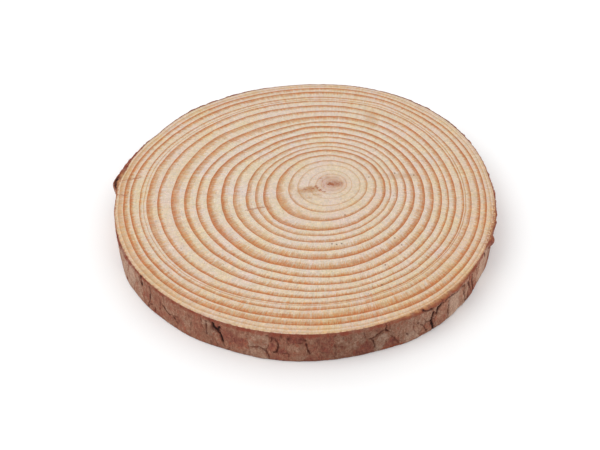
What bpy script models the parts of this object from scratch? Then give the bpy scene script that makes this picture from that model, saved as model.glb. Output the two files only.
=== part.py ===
"""A natural wood slice: one slab cut across a thin trunk, its bark still on the rim.

Metres, +Z up. The slice lies flat on z = 0, and the origin is under the middle of its box. Shape formulas
work in millimetres about the trunk's own centre line, with directions in degrees, 0 along +X and 270 at the front.
"""

import math
import random

import bmesh
import bpy
from mathutils import Vector, geometry, noise

MM = 0.001

# Driving dimensions, in millimetres
WOOD_RADIUS = 54.3
THICKNESS = 10.0
THIN_BARK = 0.3

# The trunk isn't round: its radius is WOOD_RADIUS plus these waves, as (waves round, cosine, sine) in millimetres.
OUTLINE_WAVES = ((1, 0.25, 0.0), (2, 0.97, 0.90), (3, -0.38, 0.06), (4, -0.22, 0.0), (5, 0.0, -0.12))

# Stretches where the bark is thicker than THIN_BARK, as (direction, half-width in degrees, added millimetres)
THICK_STRETCHES = (
    (268, 34, 0.5),
    (309, 11, 0.7),
    (344, 6, 0.7),
    (165, 11, 0.6),
    (200, 4, 0.35),
    (92, 30, 0.25),
)

# Flakes that stick out of the rim: direction, half-width in degrees, middle and half-height below the top face,
# and reach, the last three in millimetres
FLAKES = (
    (175.5, 2.6, 1.2, 2.2, 1.3),
    (345.0, 3.0, 2.5, 2.5, 0.7),
    (199.0, 2.0, 3.5, 3.0, 0.5),
    (36.0, 2.5, 4.0, 3.0, 0.45),
    (118.0, 3.0, 5.5, 3.0, 0.5),
)

# The deep splits of the front, each a path of (direction in degrees, millimetres below the top face)
FRONT_SPLITS = (
    ((216.8, 0.3), (216.9, 3.3)),
    ((222.0, 1.0), (220.4, 9.0)),
    ((226.5, 4.3), (228.5, 6.0), (231.8, 7.6)),
    ((243.5, 0.0), (244.3, 2.4), (245.4, 3.6), (246.4, 5.0), (246.9, 8.4)),
    ((244.3, 2.4), (245.8, 1.4), (246.0, 0.0)),
    ((260.4, 1.2), (262.0, 4.0), (261.4, 7.0)),
    ((268.0, 1.2), (269.6, 1.3), (270.1, 4.5), (270.7, 6.6)),
    ((287.8, 3.6), (290.0, 2.9), (292.8, 1.4)),
    ((288.1, 3.8), (289.2, 8.0), (289.4, 10.0)),
    ((307.6, 3.2), (307.2, 5.6), (308.6, 10.0)),
    ((309.0, 4.0), (309.8, 1.8), (315.0, 1.0)),
    ((313.8, 3.4), (313.4, 10.0)),
    ((320.4, 1.0), (321.5, 7.0), (323.0, 9.8)),
)
SPLIT_WIDTH = 0.75
SPLIT_DEPTH = 0.8

# The bark of the sides and back splits the same way, with the places drawn at random
BACK_FROM = 332
BACK_TO = 568
BACK_STEP = (4.0, 9.0)
BACK_SEED = 11

# Bark plates swell between the splits, and the saw leaves the bark's own edges a little lower than the wood
PLATE_SWELL = 0.22
PLATE_SIZE = 6.0
EDGE_CRUMBLE = 0.45
DEEPEST_SHARE = 0.75

# Mesh
COLUMNS = 360
ROWS = 8

WOOD_COLOUR = (0.76, 0.61, 0.44, 1.0)
BARK_COLOUR = (0.26, 0.12, 0.085, 1.0)


def wood_edge(angle):
    """The wood's radius in a direction, in millimetres."""
    waves = (c * math.cos(n * angle) + s * math.sin(n * angle) for n, c, s in OUTLINE_WAVES)
    return WOOD_RADIUS + sum(waves)


def degrees_apart(a, b):
    return (a - b + 180) % 360 - 180


def bump(distance, half_width):
    return math.exp(-((distance / half_width) ** 2))


def back_splits():
    """Splits for the part of the rim that FRONT_SPLITS leaves out: mostly upright, some branching."""
    draw = random.Random(BACK_SEED)
    direction = BACK_FROM
    splits = []
    while direction < BACK_TO:
        top = draw.uniform(-1, 4)
        bottom = draw.uniform(6, 11)
        lean = draw.uniform(-1.6, 1.6)
        middle = direction + draw.uniform(-0.8, 0.8)
        splits.append(((direction, top), (middle, (top + bottom) / 2), (direction + lean, bottom)))
        if draw.random() < 0.4:
            side = draw.choice((-1, 1)) * draw.uniform(2, 4)
            splits.append(((middle, (top + bottom) / 2), (middle + side, draw.uniform(1, 9))))
        direction += draw.uniform(*BACK_STEP)
    return splits


def on_unrolled_rim(direction, down):
    """A point of the rim on a flat sheet, in millimetres: along the rim, and below the top face."""
    return Vector((math.radians(direction) * WOOD_RADIUS, down))


def distance_to_path(point, path):
    """Millimetres from a point of the unrolled rim to a path on it, whichever turn of the rim the path is on."""
    best = math.inf
    turn = math.tau * WOOD_RADIUS
    for first, last in zip(path, path[1:]):
        start = on_unrolled_rim(*first)
        end = on_unrolled_rim(*last)
        shift = round((start.x - point.x) / turn) * turn
        here = point + Vector((shift, 0))
        near, share = geometry.intersect_point_line(here, start, end)
        near = start.lerp(end, min(max(share, 0), 1))
        best = min(best, (here - near.xy).length)
    return best


def bark_thickness(direction):
    return THIN_BARK + sum(
        added * bump(degrees_apart(direction, centre), half) for centre, half, added in THICK_STRETCHES
    )


def bark_reach(direction, down, splits):
    """How far the bark stands out from the wood, in millimetres."""
    angle = math.radians(direction)
    thickness = bark_thickness(direction)
    on_trunk = Vector((math.cos(angle), math.sin(angle), down / PLATE_SIZE)) * PLATE_SIZE
    swell = PLATE_SWELL * noise.noise(on_trunk / 2)
    flakes = sum(
        reach * bump(degrees_apart(direction, centre), half) * bump(down - middle, tall)
        for centre, half, middle, tall, reach in FLAKES
    )
    point = on_unrolled_rim(direction, down)
    groove = max(bump(distance_to_path(point, path), SPLIT_WIDTH) for path in splits)
    groove *= min(SPLIT_DEPTH, DEEPEST_SHARE * thickness)
    return max(thickness + swell + flakes - groove, 0.1)


def crumble(direction, side):
    """How far the bark's own edge lies inside the sawn face, in millimetres."""
    angle = math.radians(direction)
    place = Vector((math.cos(angle) * 9, math.sin(angle) * 9, side * 5))
    return EDGE_CRUMBLE * (0.25 + 0.75 * abs(noise.noise(place)))


def slab():
    """A flat cylinder whose side is cut into rows, and whose two faces have a narrow ring round them."""
    mesh = bmesh.new()
    bmesh.ops.create_cone(
        mesh, cap_ends=True, segments=COLUMNS, radius1=WOOD_RADIUS, radius2=WOOD_RADIUS, depth=THICKNESS
    )
    upright = [edge for edge in mesh.edges if abs(edge.verts[0].co.z - edge.verts[1].co.z) > THICKNESS / 2]
    bmesh.ops.subdivide_edges(mesh, edges=upright, cuts=ROWS - 1)
    faces = [face for face in mesh.faces if abs(face.normal.z) > 0.5]
    bmesh.ops.inset_region(mesh, faces=faces, thickness=THIN_BARK)
    return mesh


def shape(mesh):
    """Moves the rim out to the bark, and the narrow rings to the wood's edge."""
    splits = FRONT_SPLITS + tuple(back_splits())
    for vert in mesh.verts:
        x, y, z = vert.co
        angle = math.atan2(y, x)
        direction = math.degrees(angle) % 360
        radius = wood_edge(angle)
        if math.hypot(x, y) > WOOD_RADIUS - THIN_BARK / 2:
            down = THICKNESS / 2 - z
            radius += bark_reach(direction, down, splits)
            if abs(z) > THICKNESS / 2 - 1e-4:
                side = math.copysign(1, z)
                z -= side * crumble(direction, side)
        vert.co = Vector((radius * math.cos(angle), radius * math.sin(angle), z))


def stand_on_origin(mesh):
    """Moves the slab so that the origin lies under the middle of its box."""
    lowest = Vector([min(v.co[axis] for v in mesh.verts) for axis in range(3)])
    highest = Vector([max(v.co[axis] for v in mesh.verts) for axis in range(3)])
    middle = (lowest + highest) / 2
    bmesh.ops.translate(mesh, verts=mesh.verts[:], vec=(-middle.x, -middle.y, -lowest.z))


def material(name, colour, roughness):
    made = bpy.data.materials.new(name)
    made.use_nodes = True
    shader = made.node_tree.nodes["Principled BSDF"]
    shader.inputs["Base Color"].default_value = colour
    shader.inputs["Roughness"].default_value = roughness
    shader.inputs["Metallic"].default_value = 0.0
    made.diffuse_color = colour
    return made


def wood_slice(collection):
    mesh = slab()
    shape(mesh)
    stand_on_origin(mesh)
    bmesh.ops.scale(mesh, vec=(MM, MM, MM), verts=mesh.verts[:])
    for face in mesh.faces:
        face.material_index = 0 if len(face.verts) > 4 else 1
        face.smooth = len(face.verts) == 4
    data = bpy.data.meshes.new("wood_slice")
    mesh.to_mesh(data)
    mesh.free()
    data.materials.append(material("sawn_wood", WOOD_COLOUR, 0.6))
    data.materials.append(material("bark", BARK_COLOUR, 0.85))
    data.set_sharp_from_angle(angle=math.radians(40))
    collection.objects.link(bpy.data.objects.new("wood_slice", data))


def main():
    for obj in list(bpy.data.objects):
        bpy.data.objects.remove(obj)
    collection = bpy.data.collections.new("Wood slice")
    bpy.context.scene.collection.children.link(collection)
    wood_slice(collection)


main()
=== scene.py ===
"""Looks of the wood slice: the sawn wood with its growth rings, and the bark on its rim.

Shape formulas work in millimetres. Directions are in degrees, 0 along +X and 270 towards the camera, and
"down" is how far a point of the rim lies below the top face. A place round the rim is its direction and its
half-width in degrees.
"""

import math
import random

import bpy
import numpy as np
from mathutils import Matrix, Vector, noise


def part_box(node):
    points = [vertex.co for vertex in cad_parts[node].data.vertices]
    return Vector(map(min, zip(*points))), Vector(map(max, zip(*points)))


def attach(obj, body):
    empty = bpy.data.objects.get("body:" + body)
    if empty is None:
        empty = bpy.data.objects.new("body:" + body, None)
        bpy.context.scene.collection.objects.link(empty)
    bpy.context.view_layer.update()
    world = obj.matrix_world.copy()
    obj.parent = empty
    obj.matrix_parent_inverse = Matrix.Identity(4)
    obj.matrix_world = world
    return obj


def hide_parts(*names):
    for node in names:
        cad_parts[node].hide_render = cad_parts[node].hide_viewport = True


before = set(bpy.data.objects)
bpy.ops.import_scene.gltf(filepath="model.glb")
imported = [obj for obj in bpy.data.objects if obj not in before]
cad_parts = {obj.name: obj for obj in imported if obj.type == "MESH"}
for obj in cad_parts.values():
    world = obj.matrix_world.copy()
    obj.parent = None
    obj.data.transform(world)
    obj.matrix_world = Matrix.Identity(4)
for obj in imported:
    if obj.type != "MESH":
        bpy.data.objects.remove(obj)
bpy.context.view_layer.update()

MM = 0.001

# The slice, in millimetres: its thickness, its trunk's centre line, the wood's radius, and the waves of the
# trunk's outline, as (waves round, cosine, sine)
THICKNESS = (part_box("wood_slice")[1][2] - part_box("wood_slice")[0][2]) / MM
TRUNK = (0.70, 0.27)
WOOD_RADIUS = 54.3
OUTLINE_WAVES = ((1, 0.25, 0), (2, 0.97, 0.9), (3, -0.38, 0.06), (4, -0.22, 0), (5, 0, -0.12))

# The bark's usual thickness, and where it is thicker or thinner: place, added millimetres
THIN_BARK = 0.3
THICK_STRETCHES = (
    (268, 34, 0.5), (309, 11, 0.7), (325, 7, 0.15), (352, 10, -0.12), (166, 7, 0.6), (146, 8, -0.2),
    (208, 4, 0.3), (97, 20, -0.15), (122, 11, 0.3), (50, 4, 0.2), (188, 9, -0.27), (17, 9, -0.2),
)

# How far the rim's foot stands out from its head, or lies inside it: place, millimetres
LEANS = (
    (190, 8, -0.7), (204, 5, 0.1), (218, 10, 0.5), (236, 8, 0.5), (264, 8, 0.2), (299, 6, 0.4),
    (313, 4, 0.1), (324, 4, 0.3), (332, 4, -0.1), (338, 3, 0.2),
)

# Where the sawn top reaches further out than the trunk below it, or less far: direction, degrees before it
# and after it, and millimetres
TOP_CORNERS = (
    (175.8, 11, 5.5, 0.45), (150, 16, 6, -0.5), (164, 6, 7, 0.3), (348, 5, 14, 0.3), (8, 10, 10, -0.25),
    (95, 20, 16, -0.18), (122, 16, 12, -0.3), (50, 5, 5, -0.25),
)

# Places where the bark is gone and bare wood shows, where orange inner bark shows on the lip, below it or at
# the foot, where painted shade marks a gap between wood and bark, and where the rim's head is jagged
BARE_STRETCHES = ((187, 10), (17, 8))
ORANGE_LIP = ((310, 16), (176, 6), (345, 7), (86, 18))
ORANGE_SIDE = ((298, 7), (313, 10), (341, 2))
ORANGE_FOOT = ((294.8, 4),)
SHADED_GAPS = ((175.5, 3.5),)
JAGGED = ((12, 24), (346, 7))

# The bark's brightness, where it is lighter or darker, and where its plates are greyer: place, how much
PLAIN_SHADE = 1.03
SHADES = (
    (284, 16, -0.26), (322, 16, 0.22), (206, 12, 0.1), (164, 8, 0.35), (4, 16, 0.35), (242.6, 1.6, -0.14),
    (332, 6, 0.2),
)
GREY_STRETCHES = ((312, 20, 0.35),)

# The pith's place from the trunk's centre line, in millimetres
PITH = (8.3, 4.2)

# Growth rings: where each one's dark outer edge lies, as a share of the way from the pith to the bark, the
# width of its dark band in millimetres, how dark it gets, and where it is wider or narrower: place, added
# millimetres
RINGS = (
    (0.030, 0.50, 0.24, 180, 80, 0.2),
    (0.052, 0.50, 0.22, 300, 80, 0.1),
    (0.078, 0.45, 0.38, 200, 60, 0.1),
    (0.111, 0.45, 0.34, 200, 50, 0.1),
    (0.162, 0.55, 0.42, 200, 50, 0.3),
    (0.205, 0.80, 0.72, 220, 60, 0.3),
    (0.261, 1.00, 0.95, 215, 45, 2.0),
    (0.319, 1.30, 1.12, 235, 45, 0.8),
    (0.355, 0.75, 0.90, 215, 60, 0.7),
    (0.397, 1.00, 1.03, 200, 70, 0.7),
    (0.451, 1.05, 0.97, 235, 60, 1.2),
    (0.502, 1.35, 1.20, 240, 60, 1.0),
    (0.563, 1.45, 1.15, 260, 80, 1.3),
    (0.614, 1.00, 1.08, 310, 80, 0.6),
    (0.667, 1.15, 1.08, 130, 65, 1.2),
    (0.718, 0.90, 0.97, 175, 55, 1.7),
    (0.770, 1.20, 1.05, 40, 60, 0.2),
    (0.817, 0.80, 1.00, 190, 45, 1.2),
    (0.834, 0.45, 0.72, 190, 70, -0.2),
    (0.858, 0.55, 1.00, 300, 90, 0.8),
    (0.909, 1.15, 1.08, 270, 50, 1.0),
    (0.947, 0.95, 1.05, 250, 55, 0.9),
    (0.973, 0.60, 0.42, 160, 80, 0.5),
    (0.989, 0.50, 0.22, 250, 60, 0.1),
)

# How dark the wood is outside the last ring, by how many millimetres a band widens where it gets paler, by
# what share, and the power of the curve by which a band darkens outwards
UNFINISHED_RING = 0.12
WIDE_BAND = 0.5
WIDE_BAND_FADES = 0.12
BAND_CURVE = 1.15

# The rings don't keep the same share all round. Each wave is (turns round, cosine or sine, size, the share
# where it is strongest, how far it reaches).
RING_WAVES = (
    (1, np.sin, -0.042, 0.55, 0.21), (1, np.sin, -0.007, 0.32, 0.07), (1, np.sin, 0.009, 0.49, 0.11),
    (1, np.cos, -0.018, 0.8, 0.09), (1, np.cos, -0.0065, 0.53, 0.57), (1, np.cos, 0.0045, 0.65, 0.07),
    (2, np.sin, 0.0085, 0.44, 0.26), (2, np.cos, 0.0085, 0.84, 0.08), (2, np.cos, -0.0045, 0.48, 0.22),
    (3, np.sin, -0.006, 0.62, 0.46), (3, np.cos, -0.006, 0.52, 0.53), (3, np.cos, 0.011, 0.32, 0.22),
    (4, np.cos, 0.006, 0.61, 0.18),
)

# Where a few rings bulge out or in: place, share, its reach, and the bulge
RING_BULGES = (
    (52, 15, 0.95, 0.08, -0.012), (150, 10, 0.7, 0.05, 0.014), (172, 10, 0.5, 0.08, 0.009),
    (67, 10, 0.85, 0.05, 0.011), (300, 15, 0.95, 0.05, 0.01), (142, 10, 0.5, 0.12, -0.007),
    (225, 15, 0.3, 0.05, 0.009), (172, 10, 0.9, 0.08, 0.008), (232, 15, 0.8, 0.05, 0.008),
    (202, 10, 0.85, 0.2, -0.005), (142, 20, 0.85, 0.05, -0.006), (105, 10, 0.55, 0.05, 0.01),
    (232, 10, 0.55, 0.08, 0.006), (75, 10, 0.5, 0.2, -0.004), (187, 10, 0.4, 0.08, -0.005),
    (187, 9, 0.62, 0.05, -0.004), (260, 12, 0.4, 0.12, -0.004), (183, 9, 0.9, 0.04, 0.006),
    (315, 14, 0.85, 0.05, -0.005), (180, 12, 0.85, 0.03, -0.005), (277, 8, 0.65, 0.12, 0.004),
    (105, 14, 0.72, 0.08, -0.003), (300, 75, 0.834, 0.012, -0.009),
)

# How far, as a share, each ring wanders at random
RING_WOBBLE = 0.0022

# Where the bands of a few rings are wider: place, share, its reach, millimetres
BAND_SWELLS = (
    (120, 35, 0.925, 0.03, 0.7), (200, 50, 0.96, 0.03, 0.3), (292, 25, 0.93, 0.03, 0.5),
    (180, 50, 0.6, 0.07, 0.35), (240, 25, 0.7, 0.05, 0.4), (20, 60, 0.64, 0.04, 0.25),
    (140, 40, 0.76, 0.05, 0.25), (112, 25, 0.49, 0.04, 0.3), (112, 25, 0.858, 0.02, 0.3),
)

# A ring's share is where the eye sees its darkest line, this many millimetres inside its outer edge
DARKEST_INSIDE = 0.33

# Small dark resin canals, in millimetres from the pith
RESIN_SPOTS = (
    (18.2, 4.5), (23.8, 3.6), (10.4, 2.7), (16.4, -22.8), (18.1, -25.5), (13.1, -33.1), (2.8, -13.5),
    (1.5, -25), (0.1, -25.3), (-1.2, -25.1), (11.8, -40.4),
)

# Stains: middle in millimetres from the pith, half-sizes along X and Y, and strength
RED_STAINS = (
    (-0.9, -0.3, 1.5, 1.2, 1.2), (0.2, -0.2, 2.9, 1.9, 0.75), (1.5, -0.1, 1.6, 1.3, 0.7),
    (-1, 0.1, 5, 4, 0.28), (-5.3, -1.2, 0.6, 0.5, 1), (-4.9, -2, 0.5, 0.5, 1),
    (-4.1, -2.9, 0.7, 0.4, 0.9), (-3, -3.6, 0.9, 0.35, 0.8), (-3.4, 0.9, 0.3, 1.1, 0.6),
    (-3, -1, 0.3, 1, 0.6), (-3.9, 2.3, 1, 0.4, 0.6), (-1.8, 2.8, 1.1, 0.35, 0.5),
    (-6.6, -2.3, 0.8, 0.5, 0.8), (-8.6, -2.7, 0.8, 0.5, 0.8),
)
TAN_STAINS = (
    (-7, -2.1, 2.3, 1.1, 1), (-7.4, -3, 3.6, 1.5, 0.8), (-9.4, -3.5, 2.1, 1.3, 0.7),
    (-5, -5, 1.8, 0.7, 0.55), (-7.2, -6.3, 1, 0.7, 0.7), (-9.3, -5, 2.6, 2.2, 0.3),
    (-12.4, -1.8, 0.8, 2.2, 0.4), (20.5, 3.2, 7, 1.6, 0.4), (12.5, 31, 2.4, 5.5, 0.4),
)

# Fine cracks, as ends in millimetres from the pith
FINE_CRACKS = (
    ((-19.4, -10), (-25.6, -11.6)),
    ((-63.3, 1), (-61, 1.4)),
    ((-61, 1.4), (-57.3, 2.6)),
    ((-63.5, -5), (-60.5, -5.3)),
)

# Where the wood near the bark is darker and warmer: the direction as (x, y), the cosines and the shares
# between which it sets in, and the tint
EDGE_TINTS = (
    ((0.75, -0.66), (0.2, 0.9), (0.975, 1, 0.1, 1), (0.95, 0.8, 0.62)),
    ((-0.95, -0.31), (0.75, 0.95), (0.94, 0.97), (0.97, 0.9, 0.8)),
    ((0.35, -0.94), (0, 0.8), (0.75, 0.95), (0.99, 0.96, 0.91)),
)

# How much light the top face and the rim get. At 1 a surface looks as bright as its own colour.
TOP_LIGHT = 1.24
RIM_LIGHT = 1.05

# Columns and rows of the meshes, halving steps, and the angle from which an edge is sharp
WOOD_COLUMNS = 540
ROWS_IN_RING = 3
BARK_COLUMNS = 1400
BARK_ROWS = 42
LIP_ROWS = 7
HALVINGS = 40
SHARP_DEGREES = 50

# The sawn faces drop by this much at the wood's edge, within this far of it, in millimetres
EASED_EDGE = 0.12
EASED_WIDTH = 0.25

# In millimetres: how far the bark reaches into the wood, the least it stands out, and how far the jagged
# stretches stick out
BARK_OVERLAP = 0.12
THINNEST = 0.05
JAG_REACH = 0.5

# Heights of the fine bumps in the materials, in metres
WOOD_ROUGH = 0.00004
BARK_ROUGH = 0.00015

# A wedge is a smooth curve that starts at this share of its width, and is about this high at its peak
WEDGE_START = -0.3
WEDGE_PEAK = 0.87

# Further than anything here, in millimetres
FAR_AWAY = 99.0

# Bark plates at the front: direction, down, height over the rest in millimetres, and colour from -1, dark
# red, to 1, pale grey. Heights count for less than widths.
PLATE_SQUAT = 0.7
FRONT_PLATES = (
    (202, 4, 0.05, 0.8), (207, 3, 0.05, 0.9), (211, 5.5, 0.1, 0.95), (214.5, 6.5, 0.05, 0.5),
    (219, 4, 0, 0), (224, 3, 0.1, 0), (223, 8, 0, -0.2), (229.3, 2.8, 0.1, 0.1), (229.8, 8.2, 0.05, 0),
    (234.5, 4.5, 0.15, 0), (238.6, 5, 0.15, -0.1), (242.8, 3.4, 0.2, 0.3), (242.9, 8.4, 0.1, 0),
    (245, 0.7, 0.1, -0.5), (245.4, 7.2, 0.2, 0.1), (248.2, 3.2, 0.1, -0.3), (250.8, 4.8, 0.05, -0.5),
    (250.6, 8.6, 0.1, 0), (250.9, 1.6, 0.1, -0.1), (256.9, 3, 0.25, 0.4), (256.8, 8.4, 0.3, 0.45),
    (262, 5, 0, -0.5), (262.6, 1.6, 0.05, -0.4), (262.2, 8.8, 0.05, -0.3), (266.9, 5.4, 0.2, 0.05),
    (266.6, 0.5, 0, -0.6), (271.8, 3.6, 0.15, -0.2), (275, 3.8, 0.1, -0.4), (273, 8.6, 0.05, -0.3),
    (280.5, 2.8, 0.15, 0.15), (279.4, 7.4, 0.1, 0), (284.4, 2.8, 0.2, 0.15), (286.4, 7.4, 0.1, -0.5),
    (288, 1.4, 0.2, 0), (291, 0.9, 0.1, -0.3), (291.3, 6, 0.3, 0.6), (294.8, 2.6, 0.1, -0.1),
    (294, 8.6, 0, -0.6), (298.4, 3.6, 0.2, 0.1), (303, 4.4, 0.2, 0.1), (299.8, 8.6, 0.15, 0.5),
    (306, 7, 0.15, -0.3), (306.6, 2.8, 0.1, -0.05), (310.8, 6, 0.3, -0.2), (316.2, 5.6, 0.3, 0.65),
    (321.8, 5, 0.2, 0.2), (324.8, 5.2, 0.1, -0.2), (327.4, 4, 0.1, 0), (326.4, 8.8, 0, -0.5),
    (331, 4.6, 0.15, 0.8), (335.6, 4.6, 0.15, 0.9), (338.6, 5, 0.1, 0.6),
)

# Splits in the front bark: half-width and depth in millimetres, darkness, which is partly painted shade,
# then points of (direction, down)
FRONT_SPLITS = (
    (0.36, 0.6, 1, (216.5, 0.2), (216.9, 1.4), (216.7, 3.2)),
    (0.2, 0.3, 0.7, (220.9, 0.8), (221.4, 2.4), (220.6, 5.6), (220, 8.8)),
    (0.28, 0.5, 1, (226.4, 4.2), (227.4, 5.2), (228.5, 5.9)),
    (0.22, 0.3, 0.85, (230.4, 6), (231.7, 7.5)),
    (0.18, 0.2, 0.5, (224.4, 1), (225.4, 3.4), (225, 6.4)),
    (0.18, 0.3, 0.7, (220.8, 7.4), (221.8, 6.8), (222.9, 7.6), (222.7, 9)),
    (0.16, 0.2, 0.4, (236.8, 5), (236, 7.6)),
    (0.2, 0.2, 0.6, (241.6, 1), (241.5, 5.8)),
    (0.4, 0.35, 1, (243.7, 0.8), (243.8, 1.8), (244.2, 2.6)),
    (0.78, 0.4, 1, (244.1, 2.4), (245, 2.6)),
    (0.32, 0.35, 1, (244.9, 3), (245.9, 4), (246.1, 5.6), (246.4, 6.6)),
    (0.18, 0.3, 0.6, (246.4, 6.6), (246.9, 8.2)),
    (0.38, 0.35, 1, (244.9, 2.5), (245.4, 1.8), (245.8, 1)),
    (0.16, 0.15, 0.3, (253.8, 6), (255.4, 6.2), (257.2, 5.8)),
    (0.18, 0.25, 0.5, (257.6, 5.9), (258.8, 6.6), (259.6, 8.2), (259.7, 9.4)),
    (0.2, 0.2, 0.5, (259, 0.5), (260.4, 1), (260.5, 2.4)),
    (0.18, 0.25, 0.5, (261.4, 1.4), (262.3, 3.2)),
    (0.24, 0.3, 0.75, (262.3, 3.2), (262.1, 5.2), (261.8, 6.8), (261, 6.8)),
    (0.2, 0.2, 0.5, (263, 0.1), (263, 1)),
    (0.22, 0.2, 0.6, (265.3, 0.1), (265, 1.4)),
    (0.2, 0.3, 0.6, (268.4, 1.2), (269.7, 1.3), (269.9, 3), (270.3, 5), (270.8, 6.6)),
    (0.16, 0.15, 0.3, (274.2, 3.8), (274, 5.4)),
    (0.16, 0.15, 0.4, (277.6, 3.6), (278, 5.6), (277.9, 8)),
    (0.18, 0.2, 0.4, (279.9, 0.4), (279.9, 1.8)),
    (0.24, 0.4, 0.7, (287.4, 3.8), (289.4, 3.1), (290.6, 2.5), (291.6, 1.7), (293.2, 2.8)),
    (0.22, 0.4, 0.7, (291.9, 1.9), (292.3, 0.2)),
    (0.2, 0.3, 0.6, (288, 3.8), (288.7, 5.2), (289.3, 7.8)),
    (0.18, 0.2, 0.4, (293.8, 4.8), (295.2, 6.6), (296.4, 8.6)),
    (0.18, 0.2, 0.5, (298.2, 5.6), (299.2, 6.8)),
    (0.18, 0.2, 0.5, (302, 3.4), (304.2, 6), (305.6, 8.6)),
    (0.26, 0.3, 0.9, (303.9, 0.1), (305.3, 0.6), (307, 0.9)),
    (0.34, 0.35, 1, (307.5, 2.5), (307.1, 4.3), (307, 5.8), (307.5, 7.6), (308.1, 9.8)),
    (0.5, 0.35, 1, (308.5, 3.7), (308.7, 2.7), (309.2, 1.8), (310, 1.1)),
    (0.22, 0.25, 0.75, (310, 1.1), (312.2, 0.8), (315.6, 0.9), (318.8, 1.1), (320.6, 1.5)),
    (0.16, 0.3, 0.5, (313.4, 1.8), (313.8, 4.6), (313.5, 7.6), (313.4, 10)),
    (0.24, 0.4, 0.8, (320.4, 1.1), (320.7, 3.2), (321, 5.2), (321.8, 7.8), (322.8, 9.8)),
    (0.3, 0.3, 0.6, (322.6, 2), (324, 4.5), (324.8, 6.5)),
    (0.45, 0.3, 0.7, (325.2, 3), (326.2, 6), (327.2, 8.8)),
    (0.2, 0.3, 0.6, (327.6, 0.8), (328.4, 3.2), (329.4, 5)),
    (0.3, 0.3, 0.8, (326.2, 8.6), (327.4, 9.4)),
    (0.26, 0.3, 0.9, (333.6, 0.4), (334.4, 2.2)),
)

# Flakes that stick out: direction, degrees before it and after it, and down, half-height and reach in
# millimetres
FLAKES = (
    (175.8, 14, 5, 1.2, 3.4, 1.45),
    (340.6, 2.4, 2, 1.2, 1.9, 1.1),
    (202.5, 1.4, 2, 1.6, 1.6, 0.3),
    (36, 3, 4, 4, 3, 0.45),
    (118, 4.5, 2, 5.5, 3, 0.5),
)

# The rest of the bark, between these directions, is drawn at random within the same habits
BACK_FROM = 339
BACK_TO = 561
BACK_SEED = 23

# The camera: degrees above the horizon, millimetres from its focus, the focus from the trunk's centre line,
# and the lens
CAMERA_PITCH = 44.4
CAMERA_DISTANCE = 283.4
CAMERA_FOCUS = (-1.74, -13.42)
SENSOR_WIDTH = 36
FOCAL_LENGTH = 60.2

# The light: how bright the white world is, and the lamp's place and width in metres and its power
WORLD_LIGHT = 1.04
KEY_PLACE = (-0.55, -0.15, 0.85)
KEY_SIZE = 0.7
KEY_WATTS = 2.6


def seen(light, *values):
    """The surface colour that looks like these screen values, from 0 to 255, in that much light."""
    def channel(v):
        v /= 255
        return (v / 12.92 if v < 0.04045 else ((v + 0.055) / 1.055) ** 2.4) / light
    return (*map(channel, values), 1)


def bump(distance, half_width):
    return np.exp(-((distance / half_width) ** 2))


def apart(a, b):
    """Degrees from b round to a, from -180 to 180."""
    return (a - b + 180) % 360 - 180


def bumps(degrees, places):
    """The sum of rounded bumps, each (direction, half-width in degrees, height)."""
    return sum(height * bump(apart(degrees, middle), half) for middle, half, height in places)


def smooth(value, low, high):
    """0 below low, 1 above high, and an even curve between them."""
    share = np.clip((value - low) / (high - low), 0, 1)
    return share * share * (3 - 2 * share)


def wedge(degrees, before, after):
    """About 1 at a peak, falling to 0 that many degrees before and after it."""
    share = np.abs(degrees) / np.where(degrees < 0, before, after)
    return (1 - smooth(share, WEDGE_START, 1)) / WEDGE_PEAK


def stretches(degrees, places, uneven=0):
    """1 in the middle of each (direction, half-width) and 0 away from them."""
    inside = [smooth(np.abs(apart(degrees, middle)) / half + uneven, 1.15, 0.6) for middle, half in places]
    return np.max(inside, axis=0)


def noise_at(points, size, shift=0):
    """Soft noise from about -1 to 1 at each point, size millimetres from one bump to the next."""
    places = points.reshape(-1, 3) / size + shift
    values = np.fromiter((noise.noise(Vector(place)) for place in places), float, len(places))
    return values.reshape(points.shape[:-1])


def round_trunk(angle, radius, z):
    """Points at an angle and radius round the trunk's centre line."""
    return np.stack(np.broadcast_arrays(radius * np.cos(angle), radius * np.sin(angle), z), -1)


def wood_edge(angle):
    """The wood's radius in a direction, in millimetres."""
    waves = (c * np.cos(n * angle) + s * np.sin(n * angle) for n, c, s in OUTLINE_WAVES)
    return WOOD_RADIUS + sum(waves)


def top_corner(degrees):
    """How far the sawn top reaches out past the trunk below it."""
    return sum(far * wedge(apart(degrees, at), before, after) for at, before, after, far in TOP_CORNERS)


def bark_thickness(degrees):
    return THIN_BARK + bumps(degrees, THICK_STRETCHES)


def mesh_object(name, points, faces, values):
    """An object from points in millimetres about the trunk, with named numbers at each point."""
    mesh = bpy.data.meshes.new(name)
    placed = (np.asarray(points) + (*TRUNK, 0)) * MM
    mesh.from_pydata(placed.tolist(), [], faces)
    mesh.validate()
    for label, numbers in values.items():
        layer = mesh.attributes.new(label, "FLOAT", "POINT")
        layer.data.foreach_set("value", np.asarray(numbers, dtype=np.float32).ravel())
    mesh.shade_smooth()
    mesh.set_sharp_from_angle(angle=math.radians(SHARP_DEGREES))
    made = bpy.data.objects.new(name, mesh)
    bpy.context.scene.collection.objects.link(made)
    return made


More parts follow.
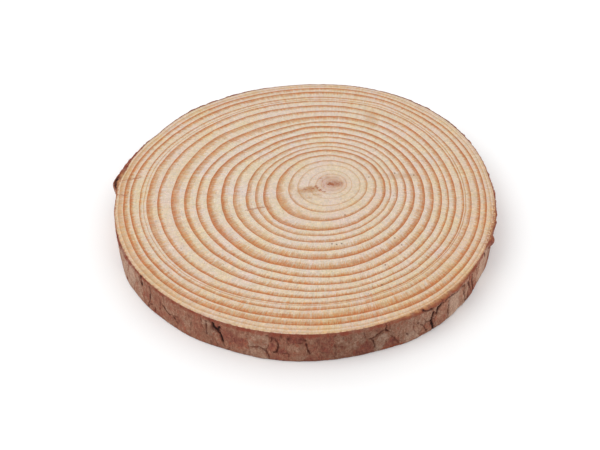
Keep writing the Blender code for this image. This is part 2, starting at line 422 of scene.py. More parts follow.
class Nodes:
    """A material's node tree, with short calls for the nodes used here."""

    def __init__(self, name):
        self.material = bpy.data.materials.new(name)
        self.material.use_nodes = True
        self.tree = self.material.node_tree
        self.shader = self.tree.nodes["Principled BSDF"]

    def feed(self, socket, value):
        if isinstance(value, bpy.types.NodeSocket):
            self.tree.links.new(value, socket)
        else:
            socket.default_value = value

    def node(self, kind, inputs=(), **settings):
        made = self.tree.nodes.new("ShaderNode" + kind)
        for label, value in settings.items():
            setattr(made, label, value)
        for label, value in dict(inputs).items():
            self.feed(made.inputs[label], value)
        return made

    def place(self):
        """The point's own place, in millimetres."""
        return self.scale(self.node("TexCoord").outputs["Object"], 1 / MM)

    def value(self, name):
        """One of the mesh's named numbers."""
        return self.node("Attribute", attribute_name=name).outputs["Fac"]

    def math(self, operation, *values, clamp=False):
        made = self.node("Math", operation=operation, use_clamp=clamp)
        for socket, value in zip(made.inputs, values):
            self.feed(socket, value)
        return made.outputs[0]

    def plus(self, *values, **settings):
        return self.math("ADD", *values, **settings)

    def times(self, *values, **settings):
        return self.math("MULTIPLY", *values, **settings)

    def vector(self, operation, *values):
        made = self.node("VectorMath", operation=operation)
        for socket, value in zip(made.inputs, values):
            self.feed(socket, value)
        return made.outputs["Value" if operation in ("LENGTH", "DISTANCE", "DOT_PRODUCT") else "Vector"]

    def scale(self, vector, factor):
        """A vector or a colour, times a factor that may vary over the surface."""
        made = self.node("VectorMath", {"Vector": vector, "Scale": factor}, operation="SCALE")
        return made.outputs["Vector"]

    def noise(self, vector, scale, detail, roughness=0.5, output="Fac"):
        inputs = {"Vector": vector, "Scale": scale, "Detail": detail, "Roughness": roughness}
        return self.node("TexNoise", inputs).outputs[output]

    def texture(self, vector, scale, detail, roughness):
        """Noise whose usual values, 0.3 to 0.7, are spread over 0 to 1."""
        return self.range(self.noise(vector, scale, detail, roughness), 0.3, 0.7)

    def astray(self, vector, by, scale, detail, roughness=0.5):
        """An uneven offset of up to half of that many millimetres each way."""
        colour = self.noise(vector, scale, detail, roughness, "Color")
        return self.scale(self.vector("SUBTRACT", colour, (0.5, 0.5, 0.5)), by)

    def range(self, value, low, high, to_low=0, to_high=1):
        inputs = {"Value": value, "From Min": low, "From Max": high, "To Min": to_low, "To Max": to_high}
        made = self.node("MapRange", inputs, interpolation_type="SMOOTHSTEP")
        return made.outputs["Result"]

    def ramp(self, value, light, *stops):
        """Colours that blend into each other, each stop a place and the screen values there."""
        made = self.node("ValToRGB", {"Fac": value})
        elements = made.color_ramp.elements
        elements[0].position, elements[1].position = stops[0][0], stops[-1][0]
        for place, *_ in stops[1:-1]:
            elements.new(place)
        for element, (_, *values) in zip(elements, stops):
            element.color = seen(light, *values)
        return made.outputs["Color"]

    def mix(self, share, first, second, blend="MIX"):
        made = self.node("Mix", data_type="RGBA", blend_type=blend)
        for index, value in ((0, share), (6, first), (7, second)):
            self.feed(made.inputs[index], value)
        return made.outputs[2]

    def tinted(self, share, colour, tint):
        """The colour, times the tint where the share is 1."""
        return self.mix(share, colour, (*tint, 1), "MULTIPLY")

    def varied(self, value, texture, size, clamp=False):
        """The value, lower or higher by half of that size as the texture goes from 0 to 1."""
        return self.plus(value, self.times(self.math("SUBTRACT", texture, 0.5), size), clamp=clamp)

    def mottled(self, colour, texture, size):
        """The colour, darker or brighter by half of that size as the texture goes from 0 to 1."""
        return self.scale(colour, self.plus(1 - size / 2, self.times(texture, size)))

    def finish(self, colour, roughness, specular):
        self.feed(self.shader.inputs["Base Color"], colour)
        self.feed(self.shader.inputs["Roughness"], roughness)
        self.shader.inputs["Specular IOR Level"].default_value = specular
        return self.material

    def bump(self, height, distance):
        made = self.node("Bump", {"Height": height, "Distance": distance, "Strength": 1.0})
        self.feed(self.shader.inputs["Normal"], made.outputs["Normal"])


# The wood

def reach_from_pith(direction):
    """Millimetres from the pith to the wood's edge, by halving."""
    near = np.zeros_like(direction)
    far = np.full_like(direction, 2 * WOOD_RADIUS)
    for _ in range(HALVINGS):
        middle = (near + far) / 2
        x = PITH[0] + middle * np.cos(direction)
        y = PITH[1] + middle * np.sin(direction)
        inside = np.hypot(x, y) < wood_edge(np.arctan2(y, x))
        near = np.where(inside, middle, near)
        far = np.where(inside, far, middle)
    return near


def ring_edge(share, direction, reach):
    """The share of the way to the bark at which a ring ends in each direction."""
    degrees = np.degrees(direction)
    drift = sum(
        size * wave(turns * direction) * bump(share - strongest, wide)
        for turns, wave, size, strongest, wide in RING_WAVES
    )
    drift = drift + sum(
        size * bump(apart(degrees, middle), half) * bump(share - strongest, wide)
        for middle, half, strongest, wide, size in RING_BULGES
    )
    places = np.stack([np.cos(direction) * 4, np.sin(direction) * 4, np.full_like(direction, share * 7)], -1)
    wobble = RING_WOBBLE * (noise_at(places, 1) + 0.9 * noise_at(places, 0.3))
    return share + drift + wobble * min(1, 4 * share) + DARKEST_INSIDE / reach


def ring_rows(direction, reach):
    """The mesh rows of a face from the pith to the edge, each a dictionary of numbers in every direction."""
    degrees = np.degrees(direction)
    edges = [np.zeros_like(direction)] + [ring_edge(ring[0], direction, reach) for ring in RINGS]
    edges.append(np.ones_like(direction))
    rows = []
    for number, (start, end) in enumerate(zip(edges, edges[1:])):
        place, band, dark, middle, half, wider = RINGS[min(number, len(RINGS) - 1)]
        if number == len(RINGS):
            dark = UNFINISHED_RING
        widened = bump(apart(degrees, middle), half)
        swell = sum(
            more * bump(apart(degrees, swell_middle), swell_half) * bump(place - strongest, wide)
            for swell_middle, swell_half, strongest, wide, more in BAND_SWELLS
        )
        for step in range(1, ROWS_IN_RING + 1):
            share = start + (end - start) * step / ROWS_IN_RING
            rows.append({
                "share": share,
                "ring": np.full_like(share, number + step / ROWS_IN_RING),
                "ring_mm": (end - start) * reach,
                "band_mm": band + wider * widened + swell,
                "dark": np.full_like(share, dark) * (1 - WIDE_BAND_FADES * widened * (wider > WIDE_BAND)),
            })
    return rows


def wood_disc():
    """The sawn slab: a closed mesh whose rows follow the growth rings on both faces."""
    direction = np.linspace(0, math.tau, WOOD_COLUMNS, endpoint=False)
    reach = reach_from_pith(direction)
    rows = ring_rows(direction, reach)
    table = {label: np.stack([row[label] for row in rows]) for label in rows[0]}
    x = PITH[0] + table["share"] * reach * np.cos(direction)
    y = PITH[1] + table["share"] * reach * np.sin(direction)
    eased = EASED_EDGE * bump((1 - table["share"]) * reach, EASED_WIDTH)
    trunk_angle = np.arctan2(y, x)
    trunk_degrees = np.degrees(trunk_angle)
    corner = top_corner(trunk_degrees) * smooth(table["share"], 0.94, 1)
    top_x = x + corner * np.cos(trunk_angle)
    top_y = y + corner * np.sin(trunk_angle)
    top = np.stack([top_x, top_y, THICKNESS - eased], -1).reshape(-1, 3)
    drawn_in = 1 + np.minimum(bumps(trunk_degrees, LEANS), 0) / wood_edge(trunk_angle)
    bottom = np.stack([x * drawn_in, y * drawn_in, eased], -1).reshape(-1, 3)
    points = np.concatenate([[(*PITH, THICKNESS)], top, [(*PITH, 0)], bottom])
    values = {}
    for label, numbers in table.items():
        middle = 0.0 if label in ("share", "ring") else numbers[0, 0]
        side = np.concatenate([[middle], numbers.ravel()])
        values[label] = np.concatenate([side, side])
    return mesh_object("sawn_wood", points, disc_faces(len(rows)), values)


def disc_faces(rows):
    """Quads and a fan for each face, and one band of quads round the edge."""
    columns = list(range(WOOD_COLUMNS))
    pairs = list(zip(columns, columns[1:] + columns[:1]))
    half = 1 + rows * WOOD_COLUMNS
    faces = []
    for start, turned in ((0, False), (half, True)):
        for row in range(rows):
            outer = start + 1 + row * WOOD_COLUMNS
            inner = outer - WOOD_COLUMNS
            for here, there in pairs:
                if row == 0:
                    face = (start, outer + here, outer + there)
                else:
                    face = (inner + here, outer + here, outer + there, inner + there)
                faces.append(face[::-1] if turned else face)
    rim = 1 + (rows - 1) * WOOD_COLUMNS
    for here, there in pairs:
        faces.append((rim + there, rim + here, half + rim + here, half + rim + there))
    return faces


def wood_grain(n, from_pith, outward, radius):
    """Textures of the sawn wood: along the radius as its rays are, along the rings, and all over."""
    ring = n.value("ring")
    outer_rays = n.range(n.value("share"), 0.2, 0.9, 0.4, 1)

    def drawn_out(turns, depth, detail, roughness):
        upward = n.node("CombineXYZ", {"Z": depth}).outputs[0]
        return n.texture(n.vector("ADD", n.scale(outward, turns), upward), 1, detail, roughness)

    def streaks(turns, squeeze):
        return drawn_out(turns, n.times(radius, squeeze), 1, 0.5)

    def layers(turns, squeeze, detail):
        return drawn_out(turns, n.times(ring, squeeze), detail, 0.6)

    return {
        "streaks": streaks(150, 0.5),
        "clumps": streaks(64, 0.22),
        "rays": n.times(n.range(streaks(75, 0.07), 0.62, 0.95), outer_rays),
        "slow": layers(5, 5, 3),
        "layers": layers(9, 12, 2),
        "grains": n.noise(from_pith, 1.9, 2, 0.65),
        "specks": n.noise(from_pith, 3.6, 2, 0.6),
        "blotches": n.texture(from_pith, 0.7, 3, 0.6),
    }


def ring_band(n, grain):
    """How dark the rings make each point: it grows up to a ring's outer edge, and drops there."""
    share = n.value("share")
    inward = n.times(n.math("SUBTRACT", 1, n.math("FRACT", n.value("ring"))), n.value("ring_mm"))
    uneven = n.plus(n.times(grain["streaks"], 0.46), n.times(grain["clumps"], 0.20))
    uneven = n.plus(uneven, n.times(grain["slow"], 0.36))
    wide = n.times(n.value("band_mm"), n.plus(0.56, uneven))
    deep = n.math("SUBTRACT", 1, n.math("DIVIDE", inward, wide), clamp=True)
    strength = n.times(n.value("dark"), n.range(grain["slow"], 0, 1, 0.90, 1.08))
    strength = n.times(strength, n.range(grain["streaks"], 0, 1, 0.84, 1.14))
    band = n.times(n.math("POWER", deep, BAND_CURVE), strength)

    # Between the bands the wood isn't quite plain either
    plain = n.plus(0.09, n.range(share, 0.5, 1, 0, 0.07))
    plain = n.plus(plain, n.range(share, 0.2, 0.5, 0.05, 0))
    band = n.plus(band, n.plus(plain, n.times(grain["rays"], 0.07)))
    for texture, size in (("layers", 0.07), ("streaks", 0.06), ("clumps", 0.05)):
        band = n.varied(band, grain[texture], size)
    return n.varied(band, grain["grains"], 0.20, clamp=True)


def facing(n, outward, way, low, high):
    """0 to 1 as the direction from the pith turns towards (x, y), between two cosines."""
    return n.range(n.vector("DOT_PRODUCT", outward, (*way, 0)), low, high)


def wood_colour(n, band, from_pith, outward):
    """The wood's colour from its bands, warmer in patches and darker near the bark at the front."""
    share = n.value("share")
    wood = n.ramp(
        band, TOP_LIGHT,
        (0, 228, 214, 196),
        (0.2, 219, 195, 171),
        (0.5, 204, 166, 131),
        (0.8, 195, 140, 99),
        (1, 187, 116, 68),
    )
    hue = n.range(n.noise(from_pith, 0.13, 3, 0.6), 0.35, 0.65)
    wood = n.tinted(n.times(hue, n.range(share, 0.1, 0.95, 0.35, 1)), wood, (1.01, 1, 0.95))
    glow = n.range(n.noise(n.vector("ADD", from_pith, (3, 9, 0)), 0.28, 3, 0.6), 0.48, 0.68)
    wood = n.tinted(n.times(glow, n.range(band, 0.15, 0.6)), wood, (1.06, 0.98, 0.84))
    for way, cosines, shares, tint in EDGE_TINTS:
        near_bark = n.times(n.range(share, *shares), facing(n, outward, way, *cosines))
        wood = n.tinted(near_bark, wood, tint)
    return wood


def frayed_edge(n, from_pith, outward):
    """Where the saw has frayed the wood's edge, or torn it at the right, and inner bark shows."""
    share = n.value("share")
    frayed = n.range(n.noise(from_pith, 0.9, 3, 0.6), 0.47, 0.60, 0, 0.8)
    frayed = n.times(frayed, n.range(share, 0.989, 0.998))
    torn = n.times(facing(n, outward, (0.93, -0.365), 0.97, 0.99), n.range(share, 0.968, 0.99))
    torn = n.times(torn, n.range(n.noise(from_pith, 1.3, 3, 0.6), 0.42, 0.56, 0, 0.8))
    return n.math("MAXIMUM", frayed, torn)


def wood_marks(n, wood, grain, from_pith, flat, radius):
    """The wood with its pinkish middle, stains, resin canals, pores and fine cracks."""
    from_middle = n.vector("MULTIPLY", n.vector("SUBTRACT", flat, (-0.3, -0.1, 0)), (0.21, 0.22, 0))
    near_pith = n.range(n.vector("LENGTH", from_middle), 0.60, 1.15, 0.75, 0)
    wood = n.tinted(near_pith, wood, (0.96, 0.88, 0.86))
    aside = n.astray(from_pith, 1.6, 1.5, 3, 0.6)
    ragged = n.vector("MULTIPLY", n.vector("ADD", flat, aside), (1, 1, 0))
    speckled = n.range(grain["grains"], 0.38, 0.60, 0.60, 1.20)
    tan = n.times(stained(n, ragged, TAN_STAINS), speckled, clamp=True)
    wood = n.mix(tan, wood, seen(TOP_LIGHT, 184, 134, 88))
    red = n.times(stained(n, ragged, RED_STAINS), speckled, clamp=True)
    wood = n.mix(red, wood, seen(TOP_LIGHT, 160, 90, 50))
    dots = n.range(resin_distance(n, flat), 0.12, 0.34, 0.9, 0)
    wood = n.mix(dots, wood, seen(TOP_LIGHT, 112, 74, 52))

    # Pores: small dots in about a fifth of a cell pattern's cells, none of them near the pith
    cells = n.node("TexVoronoi", {"Vector": from_pith, "Scale": 0.75})
    cell_number = n.node("SeparateColor", {"Color": cells.outputs["Color"]}).outputs["Red"]
    pore = n.range(cells.outputs["Distance"], 0.05, 0.20, 0.60, 0)
    pore = n.times(n.times(pore, n.range(cell_number, 0.80, 0.84)), n.range(radius, 8, 14))
    wood = n.mix(pore, wood, seen(TOP_LIGHT, 138, 92, 62))
    crack = n.range(crack_distance(n, ragged), 0.08, 0.40, 0.65, 0)
    return n.mix(crack, wood, seen(TOP_LIGHT, 168, 98, 58))


def wood_material():
    """Sanded pine: pale early wood that darkens to an orange-brown band, which ends sharply."""
    n = Nodes("sawn_pine")
    from_pith = n.vector("SUBTRACT", n.place(), (TRUNK[0] + PITH[0], TRUNK[1] + PITH[1], 0))
    flat = n.vector("MULTIPLY", from_pith, (1, 1, 0))
    radius = n.vector("LENGTH", flat)
    outward = n.vector("NORMALIZE", flat)
    grain = wood_grain(n, from_pith, outward, radius)
    band = ring_band(n, grain)
    wood = wood_colour(n, band, from_pith, outward)
    wood = n.mix(frayed_edge(n, from_pith, outward), wood, seen(TOP_LIGHT, 160, 90, 60))
    wood = wood_marks(n, wood, grain, from_pith, flat, radius)

    # Fine grain in the brightness, as of cut fibres, and a little unevenness in the hue
    for texture, size in (("specks", 0.50), ("grains", 0.70), ("streaks", 0.12), ("blotches", 0.14)):
        wood = n.mottled(wood, grain[texture], size)
    for scale, spread in ((1.6, (0.20, 0.07, 0.52)), (0.16, (0.08, 0.04, 0.45))):
        tones = n.noise(from_pith, scale, 2, output="Color")
        even = tuple(1 - part / 2 for part in spread)
        wood = n.vector("MULTIPLY", wood, n.vector("ADD", n.vector("MULTIPLY", tones, spread), even))
    n.bump(n.plus(n.times(band, 0.5), n.times(grain["specks"], 0.35)), WOOD_ROUGH)
    return n.finish(wood, n.range(band, 0, 1, 0.66, 0.52), specular=0.3)


def stained(n, place, stains):
    """How strongly a point is stained: each stain is an ellipse that fades out."""
    total = 0.0
    for x, y, across, along, strength in stains:
        offset = n.vector("SUBTRACT", place, (x, y, 0))
        scaled = n.vector("MULTIPLY", offset, (1 / across, 1 / along, 0))
        total = n.math("MAXIMUM", total, n.range(n.vector("LENGTH", scaled), 0.25, 1.25, strength, 0))
    return total


def resin_distance(n, place):
    """Millimetres to the nearest of the named resin canals."""
    nearest = FAR_AWAY
    for x, y in RESIN_SPOTS:
        nearest = n.math("MINIMUM", nearest, n.vector("DISTANCE", place, (x, y, 0)))
    return nearest


def crack_distance(n, place):
    """Millimetres to the nearest fine crack."""
    nearest = FAR_AWAY
    for start, end in FINE_CRACKS:
        start = Vector((*start, 0))
        way = Vector((*end, 0)) - start
        offset = n.vector("SUBTRACT", place, start)
        along = n.math("DIVIDE", n.vector("DOT_PRODUCT", offset, way), way.length_squared, clamp=True)
        nearest = n.math("MINIMUM", nearest, n.vector("DISTANCE", offset, n.scale(way, along)))
    return nearest


# The bark

def back_plates(draw):
    """Plates for the sides and back: two or three in each upright strip."""
    plates = []
    degrees = BACK_FROM
    while degrees < BACK_TO:
        down = draw.uniform(-1, 2)
        while down < THICKNESS + 1:
            aside = draw.uniform(-1.2, 1.2)
            plates.append((degrees + aside, down, draw.uniform(0, 0.3), draw.uniform(-0.6, 0.5)))
            down += draw.uniform(2.5, 6.5)
        degrees += draw.uniform(2.6, 5.2)
    return plates


def back_splits(draw):
    """Upright splits for the sides and back, some with a branch."""
    splits = []
    degrees = BACK_FROM + 2
    while degrees < BACK_TO:
        start = draw.uniform(-0.5, 5)
        points = [(degrees, start)]
        for _ in range(draw.randint(2, 4)):
            last = points[-1]
            points.append((last[0] + draw.uniform(-0.9, 0.9), last[1] + draw.uniform(1, 2.4)))
        splits.append((draw.uniform(0.14, 0.24), draw.uniform(0.3, 0.6), draw.uniform(0.6, 1), *points))
        if draw.random() < 0.5:
            fork = points[draw.randrange(1, len(points))]
            side = draw.choice((-1, 1))
            end = (fork[0] + side * draw.uniform(1.5, 3), fork[1] + draw.uniform(-1.6, 1.6))
            splits.append((0.15, 0.3, 0.6, fork, end))
        degrees += draw.uniform(3.5, 9)
    return splits


def path_distance(along, down, path):
    """Millimetres from each point of the unrolled rim to a path of (direction, down)."""
    nearest = np.full(along.shape, np.inf)
    for (d0, y0), (d1, y1) in zip(path, path[1:]):
        span = math.radians(d1 - d0) * WOOD_RADIUS
        rise = y1 - y0
        x = np.radians(apart(along, d0)) * WOOD_RADIUS
        y = down - y0
        share = np.clip((x * span + y * rise) / (span * span + rise * rise), 0, 1)
        nearest = np.minimum(nearest, np.hypot(x - share * span, y - share * rise))
    return nearest


def plate_under(degrees, down, rim, plates):
    """The number of the plate at each point, and about how far inside the plate's edge the point lies."""
    # The plates' own outlines wander, so each point looks up its plate a little to one side
    aside = 0.7 * noise_at(rim, 3) + 0.35 * noise_at(rim, 1, 5)
    lift = 0.7 * noise_at(rim, 3, 9) + 0.35 * noise_at(rim, 1, 13)
    first = np.full(degrees.shape, np.inf)
    second = np.full(degrees.shape, np.inf)
    owner = np.zeros(degrees.shape, dtype=int)
    for number, (middle, height, _, _) in enumerate(plates):
        x = np.radians(apart(degrees, middle)) * WOOD_RADIUS + aside
        y = (down - height + lift) * PLATE_SQUAT
        distance = np.hypot(x, y)
        closer = distance < first
        second = np.where(closer, first, np.minimum(second, distance))
        owner = np.where(closer, number, owner)
        first = np.minimum(first, distance)
    return owner, (second - first) / 2


def bark_relief(degrees, down):
    """Height, split darkness, which is partly painted shade, and colour of the bark at points of the
    unrolled rim.
    """
    draw = random.Random(BACK_SEED)
    plates = np.array(FRONT_PLATES + tuple(back_plates(draw)))
    splits = FRONT_SPLITS + tuple(back_splits(draw))
    rim = round_trunk(np.radians(degrees), WOOD_RADIUS, -down)
    owner, seam = plate_under(degrees, down, rim, plates)
    height = plates[owner, 2] * smooth(seam, 0, 1.3)
    tint = plates[owner, 3] * smooth(seam, -0.1, 0.35)

    # Thin layers that end in small steps, upright fibres and a fine roughness
    layers = noise_at(rim * (1, 1, 0.6), 2.2, 21) + 0.5 * noise_at(rim * (1, 1, 0.5), 0.9, 3)
    steps = np.floor(layers * 3 + 0.5)
    fibres = noise_at(rim * (1, 1, 0.28), 0.55, 17)
    rough = noise_at(rim, 0.45, 31)
    raised = height + 0.06 * steps + 0.06 * fibres + 0.04 * rough

    # Some seams between plates are open cracks, and the named splits cut deeper. Their darkness is painted
    # shade in the cracks as well as the bark's darker inside
    seams = 0.5 + 0.5 * noise_at(rim, 3, 41) + 0.2 * rough
    crack = np.clip(bump(seam, 0.15) * smooth(seams, 0.35, 0.75), 0, 1) * 0.6
    depth = 0.2 * crack
    uneven = 1 + 0.55 * noise_at(rim, 0.9, 51)
    ragged = 0.16 * rough + 0.10 * fibres + 0.22 * noise_at(rim, 0.8, 57)
    for half, deep, dark, *path in splits:
        away = (path_distance(degrees, down, path) + ragged) / uneven
        crack = np.maximum(crack, dark * np.minimum(1.2 * bump(away, half), 1))
        depth = np.maximum(depth, deep * bump(away, half * 1.1))
        raised = raised + 0.10 * bump(away - 2.4 * half, half)
    return {
        "height": raised - depth,
        "crack": crack,
        "tint": np.clip(tint + 0.22 * layers, -1, 1),
        "steps": steps,
    }


def flakes(degrees, down):
    """How far the flakes stick out at each point of the rim."""
    out = np.zeros(np.broadcast_shapes(degrees.shape, down.shape))
    for middle, before, after, height, half, reach in FLAKES:
        out = out + reach * wedge(apart(degrees, middle), before, after) * bump(down - height, half)
    return out


def crumbled_edges(degrees, crumbs):
    """How far the bark's own edges lie below the top face and above the underside."""
    top = 0.08 + 0.45 * np.abs(noise_at(crumbs, 3, 2)) + 0.3 * np.abs(noise_at(crumbs, 0.8, 4))
    low = 0.03 + 0.10 * np.abs(noise_at(crumbs, 3, 6)) + 0.12 * np.abs(noise_at(crumbs, 0.8, 8))
    return top * np.clip(0.2 + 0.7 * bark_thickness(degrees), 0.2, 1), low


def outer_radius(degrees, down, near_edge, height, crumbs):
    """The radius of the bark's outer side: the wood, its corner and lean, and what stands out from it."""
    thickness = bark_thickness(degrees)
    calm = 1 - 0.7 * bump(THICKNESS - down, 1.2)
    relief = height * np.clip(thickness / 0.6, 0.3, 1.3) * calm
    stand_out = thickness + relief + flakes(degrees, down) - 0.15 * bump(near_edge, 0.2)
    jags = np.maximum(noise_at(crumbs, 1, 81) + 0.5 * noise_at(crumbs, 0.5, 83), 0)
    stand_out = stand_out + JAG_REACH * jags * stretches(degrees, JAGGED) * bump(down, 2.5)
    head = top_corner(degrees) * (1 - down / THICKNESS)
    foot = bumps(degrees, LEANS) * smooth(down, 1, THICKNESS)
    return wood_edge(np.radians(degrees)) + head + np.maximum(stand_out, THINNEST) + foot


def whole_rim(upper_lip, side, lower_lip):
    """One grid of the upper lip, the outer side and the lower lip, each spread over its rows."""
    parts = ((upper_lip, LIP_ROWS), (side, BARK_ROWS), (lower_lip, LIP_ROWS))
    return np.concatenate([np.broadcast_to(part, (rows, BARK_COLUMNS)) for part, rows in parts])


def inner_bark(degrees, down, below_lip, crumbs):
    """Where orange and red inner bark show, each over the whole rim."""
    orange_depth = 0.15 + 1.1 * np.abs(noise_at(crumbs, 1.3, 67))
    side = 0.75 * stretches(degrees, ORANGE_SIDE) * (1 - smooth(below_lip / orange_depth, 0.4, 1.3))
    side = np.maximum(side, stretches(degrees, ORANGE_FOOT) * smooth(down, 8.6, 9.4))
    lip = stretches(degrees, ORANGE_LIP) * np.clip(0.75 + 0.9 * noise_at(crumbs, 1.8, 69), 0.2, 1)
    patchy = 0.75 + 0.9 * noise_at(crumbs, 2.2, 61) + 0.6 * noise_at(crumbs, 0.7, 63)
    patchy = patchy * (1 - stretches(degrees, BARE_STRETCHES))
    red = whole_rim(patchy, 0.9 * patchy * bump(below_lip, 0.26), 0)
    return whole_rim(lip, side, 0), np.clip(red, 0, 1)


def bare_wood(degrees, places):
    """Where the bark is gone, with ragged borders."""
    borders = 0.5 * noise_at(places, 2.5, 71) + 0.3 * noise_at(places, 0.9, 73)
    left = np.clip(0.8 + 1.2 * noise_at(places, 1.6, 75), 0.2, 1)
    return stretches(degrees, BARE_STRETCHES, borders) * left


def bark_rim():
    """The bark: one closed band round the wood, its outer side as relief, its two edges crumbled."""
    degrees = np.linspace(0, 360, BARK_COLUMNS, endpoint=False)
    angle = np.radians(degrees)
    crumbs = round_trunk(angle, WOOD_RADIUS, 0)
    top_cut, low_cut = crumbled_edges(degrees, crumbs)

    # The outer side, from the top down
    down = top_cut + (THICKNESS - top_cut - low_cut) * np.linspace(0, 1, BARK_ROWS)[:, None]
    below_lip = down - top_cut
    above_foot = THICKNESS - low_cut - down
    relief = bark_relief(np.broadcast_to(degrees, down.shape), down)
    outer = outer_radius(degrees, down, np.minimum(below_lip, above_foot), relief["height"], crumbs)

    # Both lips, from the wood outwards on top and back again below
    across = (np.arange(LIP_ROWS) / LIP_ROWS)[:, None]
    back = across[::-1]
    top_inner = wood_edge(angle) + top_corner(degrees) - BARK_OVERLAP
    low_inner = wood_edge(angle) + np.minimum(bumps(degrees, LEANS), 0) - BARK_OVERLAP
    top_radius = top_inner + (outer[0] - top_inner) * across
    low_radius = low_inner + (outer[-1] - low_inner) * back
    lip_noise = noise_at(round_trunk(angle, top_radius, 0), 0.5, 11)
    sunk = 0.03 + (top_cut - 0.03) * smooth(across, 0.15, 1) + 0.05 * lip_noise * smooth(across, 0, 0.3)
    low_sunk = 0.02 + (low_cut - 0.02) * smooth(back, 0.15, 1)
    z = THICKNESS - whole_rim(sunk, down, THICKNESS - low_sunk)
    places = round_trunk(angle, whole_rim(top_radius, outer, low_radius), z)

    # What each point is: split, painted shade, red or orange inner bark, bare wood or plain bark
    # A dark line along the bark's foot is painted contact shadow, carried with the splits' darkness
    cracks = np.maximum(relief["crack"], 0.45 * bump(above_foot, 0.22))
    split = whole_rim(relief["crack"][0] * across, cracks, cracks[-1] * back)
    orange, red = inner_bark(degrees, down, below_lip, crumbs)
    bare = bare_wood(degrees, places)
    outward = whole_rim(across + 0.25 * lip_noise, 1, across)
    # Painted shade on the lip, in the gap between wood and bark
    gap_shade = 0.9 * stretches(degrees, SHADED_GAPS) * bump(outward - 0.65, 0.24)
    tint = relief["tint"] + bumps(degrees, GREY_STRETCHES)
    values = {
        "tint": whole_rim(tint[0], tint, tint[-1]),
        "steps": whole_rim(relief["steps"][0], relief["steps"], relief["steps"][-1]),
        "crack": np.maximum(split * (1 - bare), gap_shade),
        "red_line": red,
        "orange": orange,
        "outward": outward,
        "bare": bare,
        "shade": np.broadcast_to(PLAIN_SHADE + bumps(degrees, SHADES), bare.shape),
    }
    return mesh_object("bark_rim", places.reshape(-1, 3), loop_faces(len(places), BARK_COLUMNS), values)


def loop_faces(rows, columns):
    """Quads of a grid that closes on itself both ways."""
    faces = []
    for row in range(rows):
        here = row * columns
        below = (row + 1) % rows * columns
        for column in range(columns):
            beside = (column + 1) % columns
            faces.append((here + column, below + column, below + beside, here + beside))
    return faces


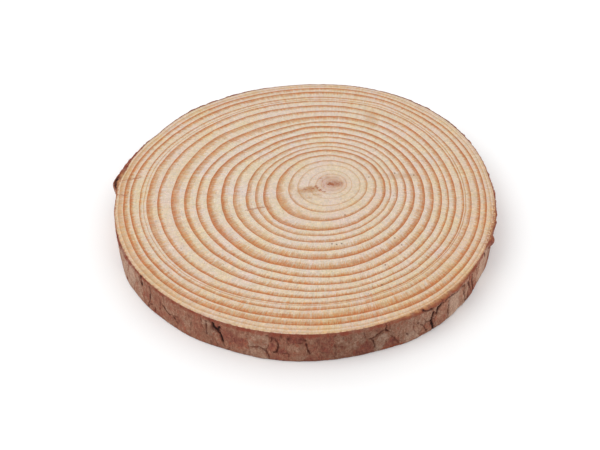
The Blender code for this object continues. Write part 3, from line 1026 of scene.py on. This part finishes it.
def bark_material():
    """Dry pine bark: red-brown, pale grey-brown plates, splits dark partly with painted shade, an orange-red
    inner layer.
    """
    n = Nodes("pine_bark")
    place = n.place()
    bent = n.vector("ADD", place, n.astray(place, 2.5, 0.35, 1))
    upright = n.vector("MULTIPLY", bent, (1, 1, 0.3))
    fibres = n.texture(upright, 1.9, 4, 0.7)
    blotches = n.texture(place, 0.45, 3, 0.55)
    specks = n.texture(place, 3.6, 2, 0.6)

    # Plates, from dark red to pale grey
    tint = n.plus(n.times(n.value("tint"), 0.5), 0.5)
    for texture, size in ((blotches, 0.30), (fibres, 0.30), (specks, 0.15)):
        tint = n.varied(tint, texture, size)
    bark = n.ramp(
        n.plus(tint, 0, clamp=True), RIM_LIGHT,
        (0, 122, 67, 57),
        (0.25, 140, 85, 69),
        (0.5, 149, 104, 83),
        (0.75, 158, 121, 101),
        (1, 170, 139, 120),
    )
    brown = n.range(tint, 0.45, 1, 1, 0.2)
    rusty = n.range(n.noise(n.vector("MULTIPLY", bent, (1, 1, 0.45)), 1.1, 4, 0.65), 0.52, 0.66, 0, 0.60)
    bark = n.mix(n.times(rusty, brown), bark, seen(RIM_LIGHT, 150, 72, 54))
    purple = n.range(n.noise(n.vector("ADD", upright, (7, 7, 7)), 1.3, 4, 0.65), 0.56, 0.70, 0, 0.55)
    bark = n.mix(n.times(purple, brown), bark, seen(RIM_LIGHT, 104, 62, 52))
    bark = n.mottled(bark, specks, 0.32)
    bark = n.mottled(bark, fibres, 0.24)
    bark = n.scale(bark, n.value("shade"))
    layer = n.times(n.math("FRACT", n.times(n.value("steps"), 0.37)), 0.14)
    bark = n.scale(bark, n.math("SUBTRACT", 1.05, layer))

    # Bare wood, red and orange inner bark, and the splits, which are darkest in their middle. The splits'
    # dark red-brown is partly the bark's darker inside and partly painted shade; their near-black middle,
    # the line at the foot and the lip's gap are painted shade
    bare = n.mix(fibres, seen(RIM_LIGHT, 158, 98, 68), seen(RIM_LIGHT, 196, 144, 110))
    bark = n.mix(n.value("bare"), bark, bare)
    red = n.times(n.value("red_line"), n.range(fibres, 0, 1, 0.6, 1), clamp=True)
    bark = n.mix(red, bark, seen(TOP_LIGHT, 142, 66, 48))
    orange = n.times(n.value("orange"), n.range(specks, 0, 1, 0.75, 1), clamp=True)
    inner = n.ramp(
        n.value("outward"), TOP_LIGHT,
        (0, 212, 162, 116),
        (0.45, 192, 132, 90),
        (0.75, 168, 96, 66),
        (1, 154, 84, 60),
    )
    bark = n.mix(orange, bark, n.scale(inner, n.range(fibres, 0, 1, 0.86, 1.12)))
    # Painted shade: the splits, seams, foot line and lip gap darkened, near black where deepest
    bark = n.mix(n.range(n.value("crack"), 0.05, 0.50, 0, 0.80), bark, seen(RIM_LIGHT, 96, 52, 42))
    bark = n.mix(n.range(n.value("crack"), 0.50, 0.90), bark, seen(RIM_LIGHT, 42, 22, 17))
    n.bump(n.plus(n.times(specks, 0.5), n.times(fibres, 0.8)), BARK_ROUGH)
    return n.finish(bark, n.range(specks, 0, 1, 0.80, 0.95), specular=0.12)


# Stage

def floor():
    """Plain white paper."""
    bpy.ops.mesh.primitive_plane_add(size=4, location=(0, 0, 0))
    made = bpy.context.object
    made.name = "floor"
    made.data.materials.append(Nodes("white_paper").finish((0.9, 0.9, 0.9, 1), 0.9, specular=0))


def look_at(made, target):
    made.rotation_euler = (Vector(target) - made.location).to_track_quat("-Z", "Y").to_euler()


def camera():
    """The photograph's view, from the front and above."""
    pitch = math.radians(CAMERA_PITCH)
    focus = Vector((TRUNK[0] + CAMERA_FOCUS[0], TRUNK[1] + CAMERA_FOCUS[1], THICKNESS))
    away = Vector((0, -math.cos(pitch), math.sin(pitch))) * CAMERA_DISTANCE
    lens = bpy.data.cameras.new("camera")
    lens.sensor_width = SENSOR_WIDTH
    lens.lens = FOCAL_LENGTH
    lens.clip_start = 0.01
    made = bpy.data.objects.new("camera", lens)
    made.location = (focus + away) * MM
    look_at(made, focus * MM)
    bpy.context.scene.collection.objects.link(made)
    bpy.context.scene.camera = made


def light():
    """An even white world, and one large soft lamp from the upper left."""
    world = bpy.data.worlds.new("studio")
    world.use_nodes = True
    world.node_tree.nodes["Background"].inputs["Color"].default_value = (1, 1, 1, 1)
    world.node_tree.nodes["Background"].inputs["Strength"].default_value = WORLD_LIGHT
    bpy.context.scene.world = world
    bpy.context.scene.view_settings.view_transform = "Standard"
    lamp = bpy.data.lights.new("key", "AREA")
    lamp.shape = "DISK"
    lamp.size = KEY_SIZE
    lamp.energy = KEY_WATTS
    made = bpy.data.objects.new("key", lamp)
    made.location = KEY_PLACE
    look_at(made, (0, 0, 0))
    bpy.context.scene.collection.objects.link(made)


floor()
camera()
light()

wood = wood_disc()
wood.data.materials.append(wood_material())
bark = bark_rim()
bark.data.materials.append(bark_material())
for piece, slot in ((wood, "wood"), (bark, "bark")):
    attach(piece, "root")
    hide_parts("wood_slice")
